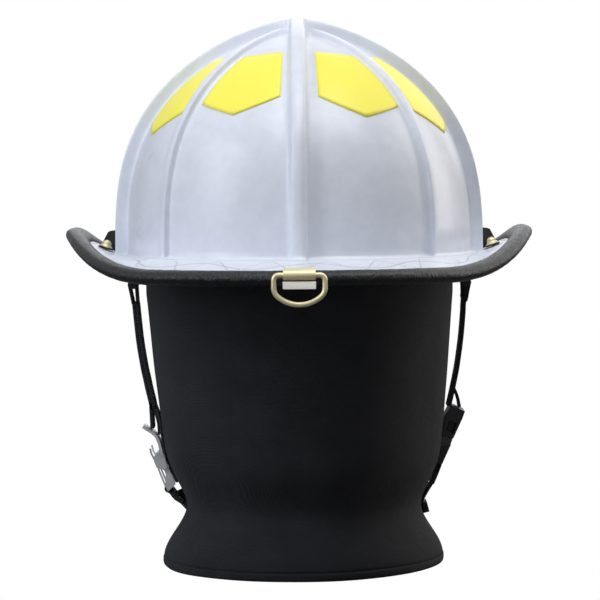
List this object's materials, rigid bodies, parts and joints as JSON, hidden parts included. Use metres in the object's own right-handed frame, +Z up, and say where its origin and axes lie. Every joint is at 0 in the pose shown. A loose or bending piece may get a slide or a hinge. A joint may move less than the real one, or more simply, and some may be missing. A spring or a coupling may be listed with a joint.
{
  "type": "traditional fire helmet",
  "caption": "Traditional fire helmet with a ridged dome, a long rear brim with rolled trim, reflective markers, brass hanging ring, buckled chin strap and a cloth neck curtain.",
  "frame": {"origin": "centre of the head opening, level with the line where the dome meets the brim", "axes": "+Y is the wearer's front, +X the wearer's right, +Z up"},
  "size_m": [0.2958, 0.3929, 0.3496],
  "materials": {
    "brass": "polished",
    "chrome": "bright",
    "cloth": "black cloth",
    "foam": "matte dark grey",
    "grey_plastic": "satin grey",
    "hide": "dark leather",
    "marker": "fluorescent yellow",
    "pad": "brown leather",
    "plastic": "satin black",
    "shell": "gloss white",
    "steel": "satin",
    "trim": "pebbled black",
    "webbing": "black webbing"
  },
  "bodies": {
    "helmet": {"outer_shell": "shell", "edge_trim": "trim", "reflective_markers": "marker", "impact_liner": "foam", "crown_strap_long": "webbing", "crown_strap_left": "webbing", "crown_strap_right": "webbing", "crown_pad": "foam", "suspension_clips": "plastic", "headband": "plastic", "brow_pad": "pad", "nape_pad": "foam", "ratchet_housing": "plastic", "neck_curtain": "cloth", "curtain_hem": "cloth", "curtain_header": "cloth", "throat_tab": "cloth", "ring_keeper": "brass", "keeper_plate": "steel", "keeper_rivets": "steel", "bracket_left": "plastic", "bracket_right": "plastic", "bracket_studs": "brass", "acorn_nuts": "brass", "hanger_left": "plastic", "hanger_right": "plastic", "hanger_rivets": "steel", "chin_strap_left": "webbing", "chin_strap_inner": "webbing", "slide_frame": "chrome", "slide_pin": "chrome", "slide_loop": "chrome", "chin_side_left": "webbing", "chin_side_right": "webbing", "chin_webbing": "webbing", "chin_strap_right": "webbing", "buckle_socket": "plastic", "buckle_plug": "grey_plastic", "front_holder": "brass", "front_shield": "hide", "front_panels": "hide", "front_screws": "brass", "front_spacers": "steel"},
    "ring": {"hanging_ring": "brass"},
    "knob": {"ratchet_knob": "plastic", "ratchet_pinion": "grey_plastic"},
    "lever": {"slide_lever": "chrome"},
    "front_latch": {"latch_front": "grey_plastic"},
    "rear_latch": {"latch_rear": "grey_plastic"}
  },
  "joints": [
    {"name": "ring_swing", "type": "hinge", "parent": "helmet", "child": "ring", "pos_m": [0, -0.2194, -0.00655], "axis": [1, 0, 0], "range_deg": [-110, 0]},
    {"name": "knob_turn", "type": "hinge", "parent": "helmet", "child": "knob", "pos_m": [0, -0.0999, -0.009], "axis": [0, -1, 0], "continuous": true},
    {"name": "lever_flip", "type": "hinge", "parent": "helmet", "child": "lever", "pos_m": [-0.09017, 0.008, -0.1292], "axis": [0, -1, 0], "range_deg": [0, 60]},
    {"name": "front_latch_press", "type": "slide", "parent": "helmet", "child": "front_latch", "axis": [0, -1, 0], "range_m": [0, 0.002], "stiffness_N_per_m": 900},
    {"name": "rear_latch_press", "type": "slide", "parent": "helmet", "child": "rear_latch", "axis": [0, 1, 0], "range_m": [0, 0.002], "stiffness_N_per_m": 900}
  ]
}
